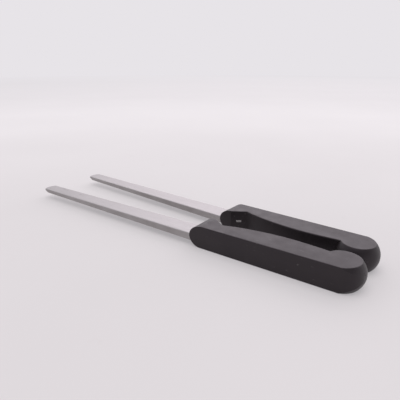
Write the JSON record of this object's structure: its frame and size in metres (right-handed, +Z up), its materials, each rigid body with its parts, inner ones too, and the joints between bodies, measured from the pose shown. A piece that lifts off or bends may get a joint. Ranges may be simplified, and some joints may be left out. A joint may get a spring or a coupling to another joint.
{
  "type": "spring loaded kitchen tongs",
  "caption": "Sprung kitchen tongs with flat folded steel arms and hooked black moulded handles that pivot on a pin at the rear.",
  "frame": {"origin": "middle of the tongs' footprint, on the surface they lie on, with the halves sprung open", "axes": "+X along the tongs to the tips, +Y to the left half, +Z up, square to the plane in which the tongs open"},
  "size_m": [0.3033, 0.0664, 0.017],
  "materials": {
    "handle_plastic": "satin",
    "arm_steel": "brushed",
    "rivet_steel": "satin",
    "spring_steel": "polished",
    "washer_plastic": "satin"
  },
  "bodies": {
    "right_half": {"right_handle_upper": "handle_plastic", "right_handle_lower": "handle_plastic", "right_arm": "arm_steel", "right_hinge_plate": "arm_steel", "right_tang_rivets": "rivet_steel", "right_handle_screws": "rivet_steel", "pivot_pin": "rivet_steel", "pivot_clip": "spring_steel", "spring_sleeve": "washer_plastic", "torsion_spring": "spring_steel", "pivot_washer_bottom": "rivet_steel", "pivot_washer_lower": "washer_plastic", "pivot_washer_middle": "washer_plastic", "pivot_washer_upper": "washer_plastic"},
    "left_half": {"left_handle_upper": "handle_plastic", "left_handle_lower": "handle_plastic", "left_arm": "arm_steel", "left_hinge_plate": "arm_steel", "left_tang_rivets": "rivet_steel", "left_handle_screws": "rivet_steel"}
  },
  "joints": [
    {"name": "squeeze", "type": "hinge", "parent": "right_half", "child": "left_half", "pos_m": [-0.13683, 0, 0.0085], "axis": [0, 0, -1], "range_deg": [0, 8.2], "stiffness_Nm_per_rad": 1.2, "springref_deg": -28.65, "deforming": ["torsion_spring"]}
  ]
}
